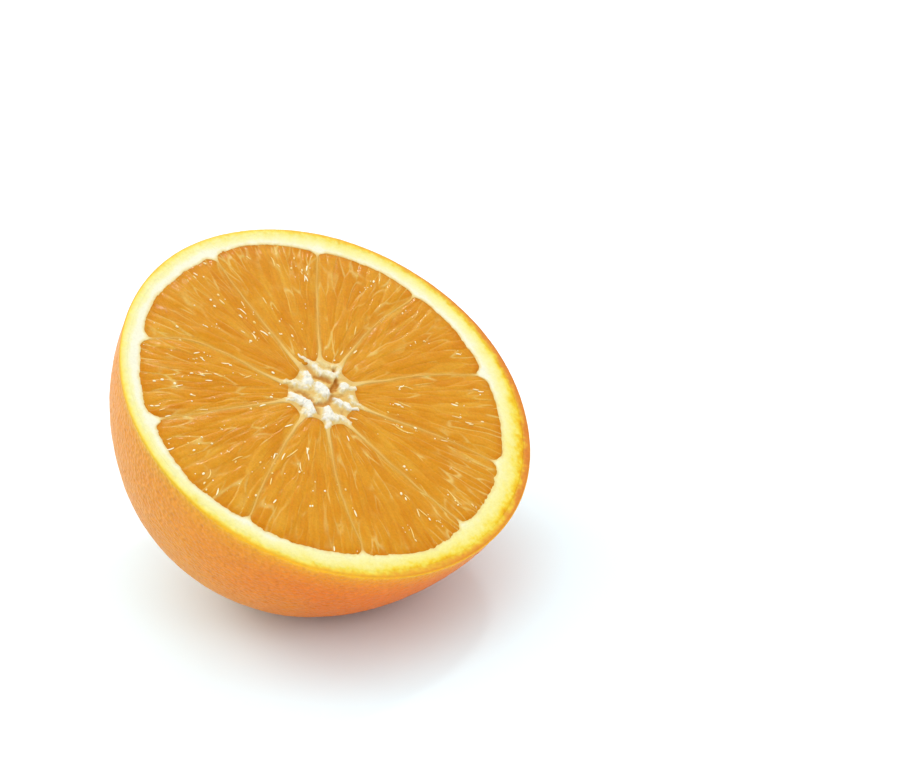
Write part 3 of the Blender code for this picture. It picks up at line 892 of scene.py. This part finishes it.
def segment_top(index, chance):
    """Cut face of a segment: its points and colours, and what the beads are placed by."""
    angle, radius, width, share = segment_grid(index)
    # the level of the noise differs, so each segment has its own
    level = index + 0.5
    cx = radius * np.cos(angle)
    cy = radius * np.sin(angle)
    bend = 0.45 * plane_noise(cx, cy, 4.0, 91, level)
    sacs = scatter_sacs(index, chance)
    gap, rise, tone, pale = sac_field(cx - bend * np.sin(angle), cy + bend * np.cos(angle), sacs)
    side = np.minimum(share, 1.0 - share) * width
    notch = edge_notch(share * width, (1.0 - share) * width, index)
    to_edge = pulp_reach(angle) - radius - notch
    to_end = np.minimum(to_edge, radius - TIPS[index])
    near_side = np.minimum(side, to_end)

    # fine threads run along the sacs; the pale strands among them are partly the sacs' fibres, partly
    # a painted highlight along their wet edges
    arc = angle * ARC_RADIUS
    fine = noise(arc / 0.42, radius / 5.0, level, 93)
    finer = noise(arc / 0.21, radius / 2.6, index + 3.5, 95)
    sway = 0.8 * plane_noise(cx, cy, 3.0, 106, level)
    loose = noise(arc / 1.25 + sway, radius / 7.0, index + 7.5, 107)
    outer_part = THREADS[index] * smooth(10.0, 2.5, to_edge)
    streak = noise(radius / 3.0, angle * 9.0, level, 108) + 0.15 + 0.30 * outer_part
    strand = bell(loose / 0.08) * np.clip(streak, 0.0, 1.0)

    # sacs with a crease between them, shown as a pale line in patches: partly the sacs' pale walls,
    # partly a painted highlight along their edges
    crease = bell(gap / 0.13)
    body = 1.0 - bell(gap / 0.5)
    patch = noise(radius / 2.6, angle * 13.0, level, 103) + 0.35 * outer_part
    picked = np.clip(smooth(0.55, 0.95, pale) + 0.55 * outer_part, 0.0, 1.0)
    shown = np.clip(0.05 + picked * smooth(-0.15, 0.55, patch), 0.0, 1.0)
    relief = 0.06 * body + 0.08 * rise + 0.009 * fine + 0.005 * finer
    relief += 0.05 * plane_noise(cx, cy, 2.2, 97, level) + 0.05 * crease * shown + 0.035 * strand
    height = -0.06 + 0.12 * smooth(0.0, 3.0, near_side) + relief * smooth(0.0, 0.9, near_side)
    height -= 0.5 * smooth(-0.05, -0.6, near_side)

    depth = 0.50 + 0.17 * tone + 0.13 * fine + 0.13 * finer
    depth += 0.16 * rough_noise(cx / 4.0, cy / 4.0, level, 101) - 0.30 * smooth(1.8, 0.0, to_end)
    tint = ramp(depth, [(0.0, PULP_DEEP), (0.5, PULP_MAIN), (1.0, PULP_PALE)])
    # pale lines: the sacs' walls and fibres, with a painted highlight in them
    tint = blend(tint, PULP_MEMBRANE_AND_HIGHLIGHT, 0.72 * crease * shown)
    tint = blend(tint, PULP_MEMBRANE_AND_HIGHLIGHT, 0.55 * strand * smooth(0.2, 1.0, near_side))
    veil = 0.12 + 0.4 * decay(radius - 7.0, 9.0)
    tint = blend(tint, PULP_MEMBRANE_AND_HIGHLIGHT, veil * bell(side / 0.42))
    lines = np.clip(crease * (0.3 + shown) + strand, 0.0, 1.0)
    top = np.stack([CORE_CENTRE[0] + cx, CORE_CENTRE[1] + cy, height], axis=-1)
    return top, tint, angle, near_side, lines


def close_segment(index, top):
    """Points and faces of a whole segment: its outline is carried down as the pulp ball closes."""
    grid = np.arange(top[..., 0].size).reshape(top.shape[:2])
    outline = np.concatenate([grid[0, :-1], grid[:-1, -1], grid[-1, :0:-1], grid[:0:-1, 0]])
    count = len(outline)
    top = top.reshape(-1, 3)
    middle = np.array(CORE_CENTRE)
    off = top[outline, :2] - middle
    reach = np.hypot(off[:, 0], off[:, 1])
    tip = TIPS[index] - PULP_MARGIN
    full = PULP_RADIUS + 0.5
    share = np.clip((reach - tip) / (full - tip), 0.0, 1.1)
    rings = []
    for sink in np.sin(np.radians([6, 14, 24, 36, 48, 60, 70, 78, 84])):
        low = TIPS[index] * (1.0 - 0.35 * sink * sink)
        wide = full * math.sqrt(1.0 - sink * sink)
        target = np.maximum(mix(low, wide, share), 0.6)
        ring = middle + off * (target / reach)[:, None] + 0.9 * sink * np.array(POLE_SHIFT)
        rings.append(np.column_stack([ring, np.full(count, -PULP_DEPTH * sink)]))
    points = np.concatenate([top, *rings, rings[-1].mean(axis=0)[None, :]])
    corners = [grid[:-1, :-1], grid[:-1, 1:], grid[1:, 1:], grid[1:, :-1]]
    quads = [np.stack(corners, axis=-1).reshape(-1, 4)]
    ring_ids = [outline] + [len(top) + k * count + np.arange(count) for k in range(len(rings))]
    for above, below in zip(ring_ids, ring_ids[1:]):
        quads.append(np.stack([above, below, np.roll(below, -1), np.roll(above, -1)], axis=-1))
    return points, np.concatenate(quads), fan(ring_ids[-1], len(points) - 1)


def build_segment(index, material, beads):
    chance = np.random.default_rng(100 + index)
    top, tint, angle, near_side, lines = segment_top(index, chance)
    scatter_glint_beads(index, chance, top, angle, near_side, lines, beads)
    points, quads, tris = close_segment(index, top)
    placed = to_frame(points)
    faces = facing_out(placed, quads, tris)
    tint = tint.reshape(-1, 3)
    tint = np.concatenate([tint, np.broadcast_to(PULP_DEEP, (len(points) - len(tint), 3))])
    number = "%02d" % (index + 1)
    name = "segment_pulp_" + number
    return add_piece(name, placed, faces, tint, material, "segment_" + number)


# Colours, as they look on a screen in the light that reaches them

LIGHT_ON_SKIN = 1.08
LIGHT_ON_CUT = 1.26
LIGHT_ON_PULP = 1.33

# Side of the fruit, in the frame, toward the lamps on the back left, where painted light makes the
# skin palest and yellowest; and colours by how far the skin faces there, with painted shade turning
# it a redder, deeper orange on the side turned away
PAINTED_LIGHT_SIDE = np.array([-0.85, 0.45, 0.25])
SKIN_LIGHT_AND_SHADE_STOPS = colour_stops(LIGHT_ON_SKIN, [
    (-0.75, 250, 120, 0),
    (-0.45, 239, 120, 0),
    (-0.20, 232, 135, 12),
    (0.10, 224, 140, 14),
    (0.45, 209, 134, 16),
    (0.80, 206, 131, 16),
])
# plain skin colour for the back, without the painted light and shade of the sides
SKIN_BACK = linear(212, 120, 8, LIGHT_ON_SKIN)
SKIN_PORE = linear(206, 100, 20, LIGHT_ON_SKIN)
SCAR_COLOUR = linear(150, 110, 60, LIGHT_ON_SKIN)

# Cut ring, by the scaled depth under the skin
CUT_STOPS = colour_stops(LIGHT_ON_CUT, [
    (-0.6, 222, 124, 0),
    (0.0, 232, 144, 0),
    (0.5, 241, 174, 6),
    (1.0, 249, 204, 26),
    (1.5, 252, 229, 84),
    (2.1, 254, 240, 136),
    (3.0, 255, 246, 164),
    (4.0, 255, 249, 186),
    (5.2, 255, 252, 222),
    (7.0, 255, 252, 226),
])

# Yellow glow painted on the skin just under the cut, by the side it faces: brightest and reaching
# furthest down on the side turned away from the lamps
PAINTED_GLOW_STOPS = [
    (-0.45, linear(245, 180, 8, 1.0)),
    (-0.10, linear(238, 177, 6, 1.02)),
    (0.30, linear(210, 168, 2, LIGHT_ON_SKIN)),
    (0.60, linear(202, 146, 4, LIGHT_ON_SKIN)),
    (0.80, linear(197, 133, 6, LIGHT_ON_SKIN)),
]
# painted glow on the back of the fruit
PAINTED_GLOW_BACK = linear(220, 142, 8, LIGHT_ON_SKIN)
PITH_EDGE = linear(247, 222, 134, LIGHT_ON_CUT)

# Walls, by distance from the core's middle
WALL_STOPS = colour_stops(LIGHT_ON_CUT, [
    (7.0, 246, 214, 138),
    (9.5, 243, 202, 114),
    (13.0, 240, 191, 96),
    (20.0, 239, 186, 88),
])
CORE_WHITE = linear(255, 252, 238, LIGHT_ON_CUT)
CORE_CREAM = linear(244, 222, 156, LIGHT_ON_CUT)
CORE_TAN = linear(235, 192, 108, LIGHT_ON_CUT)
CORE_DEEP = linear(215, 148, 60, LIGHT_ON_CUT)
PULP_MAIN = linear(230, 154, 26, LIGHT_ON_PULP)
PULP_DEEP = linear(219, 131, 0, LIGHT_ON_PULP)
PULP_PALE = linear(241, 178, 54, LIGHT_ON_PULP)
# pale colour of the sacs' walls and fibres, also used for painted highlights along them
PULP_MEMBRANE_AND_HIGHLIGHT = linear(248, 216, 124, LIGHT_ON_PULP)
# Colours of the beads: painted glints, from dim yellow to pale yellow-white
GLINT_PALE = linear(255, 248, 208, 1.05)
GLINT_DIM = linear(250, 214, 118, 1.15)


# Materials

def new_material(name):
    material = bpy.data.materials.new(name)
    material.use_nodes = True
    return material, material.node_tree, material.node_tree.nodes["Principled BSDF"]


def set_inputs(node, values):
    for name, value in values.items():
        node.inputs[name].default_value = value


def object_texture(tree, kind, values):
    node = tree.nodes.new(kind)
    place = tree.nodes.new("ShaderNodeTexCoord")
    tree.links.new(place.outputs["Object"], node.inputs["Vector"])
    set_inputs(node, values)
    return node


def noise_texture(tree, scale, detail, rough=0.5):
    values = {"Scale": scale, "Detail": detail, "Roughness": rough}
    return object_texture(tree, "ShaderNodeTexNoise", values).outputs["Fac"]


def map_range(tree, source, start, stop, low, high):
    """A value between start and stop, carried over to between low and high."""
    node = tree.nodes.new("ShaderNodeMapRange")
    set_inputs(node, {"From Min": start, "From Max": stop, "To Min": low, "To Max": high})
    tree.links.new(source, node.inputs["Value"])
    return node.outputs["Result"]


def bump(tree, source, distance, strength, before=None):
    node = tree.nodes.new("ShaderNodeBump")
    set_inputs(node, {"Distance": distance, "Strength": strength})
    tree.links.new(source, node.inputs["Height"])
    if before is not None:
        tree.links.new(before.outputs["Normal"], node.inputs["Normal"])
    return node


def link_surface(tree, shader, colour, relief, rough):
    """Links the mesh's tint varied by a texture, the relief, and a roughness varied by a texture.

    colour and rough are each a texture with the least and the greatest value.
    """
    link = tree.links.new
    tint = tree.nodes.new("ShaderNodeAttribute")
    tint.attribute_name = "tint"
    scale = tree.nodes.new("ShaderNodeVectorMath")
    scale.operation = "SCALE"
    texture, low, high = colour
    link(tint.outputs["Color"], scale.inputs[0])
    link(map_range(tree, texture, 0.25, 0.75, low, high), scale.inputs["Scale"])
    link(scale.outputs["Vector"], shader.inputs["Base Color"])
    link(relief.outputs["Normal"], shader.inputs["Normal"])
    texture, low, high = rough
    link(map_range(tree, texture, 0.3, 0.7, low, high), shader.inputs["Roughness"])
    return tint


def rind_material():
    material, tree, shader = new_material("orange_skin")
    fine = noise_texture(tree, 1500.0, 2.0)
    pores = object_texture(tree, "ShaderNodeTexVoronoi", {"Scale": 1300.0})
    low = bump(tree, pores.outputs["Distance"], 0.00032, 0.9)
    high = bump(tree, fine, 0.0001, 0.5, low)
    tint = link_surface(tree, shader, (fine, 0.94, 1.06), high, (fine, 0.42, 0.54))
    # the tint's alpha is 1 on the skin and 0 on the cut, where the pores are faint
    strength = map_range(tree, tint.outputs["Alpha"], 0.0, 1.0, 0.15, 0.9)
    tree.links.new(strength, low.inputs["Strength"])
    set_inputs(shader, {
        "Specular IOR Level": 0.42,
        "Subsurface Weight": 0.22,
        "Subsurface Radius": (1.0, 0.5, 0.15),
        "Subsurface Scale": 0.001,
        "IOR": 1.45,
        "Coat Weight": 0.06,
        "Coat Roughness": 0.2,
    })
    return material


def pith_material():
    material, tree, shader = new_material("orange_pith")
    fine = noise_texture(tree, 1100.0, 3.0, 0.6)
    fibre = noise_texture(tree, 420.0, 3.0, 0.55)
    grain = noise_texture(tree, 2600.0, 4.0, 0.7)
    high = bump(tree, fine, 0.0001, 0.35, bump(tree, fibre, 0.0002, 0.35))
    link_surface(tree, shader, (grain, 0.93, 1.06), high, (fibre, 0.42, 0.6))
    set_inputs(shader, {
        "Subsurface Weight": 0.2,
        "Subsurface Radius": (1.0, 0.85, 0.6),
        "Subsurface Scale": 0.0005,
        "IOR": 1.4,
        "Specular IOR Level": 0.25,
    })
    return material


def pulp_material():
    material, tree, shader = new_material("orange_pulp")
    fine = noise_texture(tree, 900.0, 2.0)
    wide = noise_texture(tree, 2100.0, 5.0, 0.72)
    high = bump(tree, wide, 0.0001, 0.4, bump(tree, fine, 0.0002, 0.35))
    link_surface(tree, shader, (wide, 0.87, 1.13), high, (wide, 0.26, 0.42))
    set_inputs(shader, {
        "Subsurface Weight": 0.4,
        "Subsurface Radius": (1.0, 0.5, 0.15),
        "Subsurface Scale": 0.0012,
        "IOR": 1.4,
        "Specular IOR Level": 0.16,
        "Specular Tint": (1.0, 0.78, 0.36, 1.0),
        "Coat Weight": 0.08,
        "Coat Roughness": 0.07,
    })
    return material


def glint_bead_material():
    # the beads' pale colour is a painted glint; the coat gives them a real gloss
    material, tree, shader = new_material("painted_glint_bead")
    fine = noise_texture(tree, 2500.0, 2.0)
    skin = bump(tree, fine, 0.00003, 0.3)
    link_surface(tree, shader, (fine, 0.96, 1.04), skin, (fine, 0.12, 0.22))
    set_inputs(shader, {"IOR": 1.38, "Coat Weight": 0.5, "Coat Roughness": 0.04})
    return material


def floor_material():
    material, tree, shader = new_material("pale_floor")
    place = tree.nodes.new("ShaderNodeTexCoord")
    away = tree.nodes.new("ShaderNodeVectorMath")
    away.operation = "LENGTH"
    tree.links.new(place.outputs["Object"], away.inputs[0])
    # painted tint: pale cyan near the fruit, to cancel the orange light bounced off the fruit into
    # its shadow, and even grey farther out
    tones = tree.nodes.new("ShaderNodeMix")
    tones.data_type = "RGBA"
    set_inputs(tones, {"A": FLOOR_NEAR, "B": FLOOR_FAR})
    share = map_range(tree, away.outputs["Value"], 0.07, 0.25, 0.0, 1.0)
    tree.links.new(share, tones.inputs["Factor"])
    tree.links.new(tones.outputs["Result"], shader.inputs["Base Color"])
    set_inputs(shader, {"Roughness": 0.6, "Specular IOR Level": 0.2})
    return material


# Studio

SKY_LOW = 0.5
SKY_HIGH = 1.62
SKY_TOP = (-0.27, 0.18, 0.946)
# floor colours: pale cyan near the fruit, painted to cancel the orange bounce light in its shadow,
# and even grey farther out
FLOOR_NEAR = (0.78, 0.92, 0.97, 1.0)
FLOOR_FAR = (0.93, 0.93, 0.93, 1.0)
WHITE = (1.0, 1.0, 1.0, 1.0)
LIGHT_TARGET = (0.0, 0.0, 0.03)

# Camera, in mm from the middle of the cut face, with its tilt from straight down
CAMERA_PLACE = np.array([21.88, -416.3, 241.5])
CAMERA_TILT = math.radians(60.0)
CAMERA_LENS = 105.3


def build_floor():
    mesh = bpy.data.meshes.new("pale_floor")
    corners = [(-6.0, -6.0, 0.0), (6.0, -6.0, 0.0), (6.0, 6.0, 0.0), (-6.0, 6.0, 0.0)]
    mesh.from_pydata(corners, [], [(0, 1, 2, 3)])
    mesh.materials.append(floor_material())
    add_object("pale_floor", mesh)


def add_light(name, place, size, power, colour=(1.0, 1.0, 1.0)):
    data = bpy.data.lights.new(name, "AREA")
    data.shape = "RECTANGLE"
    data.size, data.size_y = size
    data.energy = power
    data.color = colour
    lamp = add_object(name, data)
    lamp.location = place
    aim = np.array(LIGHT_TARGET) - np.array(place)
    yaw = math.atan2(aim[0], -aim[1])
    pitch = math.atan2(math.hypot(aim[0], aim[1]), -aim[2])
    lamp.rotation_euler = (pitch, 0.0, yaw + math.pi)


def build_studio():
    # soft light that grows toward overhead and the back left, before a plain white backdrop
    world = bpy.data.worlds.new("soft_white")
    world.use_nodes = True
    tree = world.node_tree
    link = tree.links.new
    light = tree.nodes["Background"]
    light.inputs["Color"].default_value = WHITE
    place = tree.nodes.new("ShaderNodeTexCoord")
    toward = tree.nodes.new("ShaderNodeVectorMath")
    toward.operation = "DOT_PRODUCT"
    toward.inputs[1].default_value = SKY_TOP
    link(place.outputs["Generated"], toward.inputs[0])
    strength = map_range(tree, toward.outputs["Value"], 0.0, 1.0, SKY_LOW, SKY_HIGH)
    link(strength, light.inputs["Strength"])
    backdrop = tree.nodes.new("ShaderNodeBackground")
    backdrop.inputs["Color"].default_value = WHITE
    path = tree.nodes.new("ShaderNodeLightPath")
    either = tree.nodes.new("ShaderNodeMixShader")
    link(path.outputs["Is Camera Ray"], either.inputs["Fac"])
    link(light.outputs["Background"], either.inputs[1])
    link(backdrop.outputs["Background"], either.inputs[2])
    link(either.outputs["Shader"], tree.nodes["World Output"].inputs["Surface"])
    bpy.context.scene.world = world
    add_light("left_light", (-0.78, 0.36, 0.55), (0.5, 0.4), 2.4)
    add_light("low_light", (-0.80, -0.12, 0.20), (0.6, 0.3), 1.5)
    add_light("front_light", (0.60, -0.52, 0.60), (0.4, 0.4), 1.2, (0.84, 0.93, 1.0))
    add_light("glint_light", (0.285, 0.52, 0.77), (0.09, 0.09), 0.9)


def build_camera():
    data = bpy.data.cameras.new("photo_view")
    data.lens = CAMERA_LENS
    data.sensor_width = 36.0
    data.clip_start = 0.01
    data.clip_end = 20.0
    camera = add_object("photo_view", data)
    camera.location = (ORIGIN + CAMERA_PLACE) * MM
    camera.rotation_euler = (CAMERA_TILT, 0.0, 0.0)
    bpy.context.scene.camera = camera


bpy.context.scene.view_settings.view_transform = "Standard"
build_floor()
build_studio()
build_camera()
build_rind(rind_material())
build_pith(pith_material())
pulp = pulp_material()
beads = []
for number in range(COUNT):
    build_segment(number, pulp, beads)
build_glint_beads(beads, glint_bead_material())
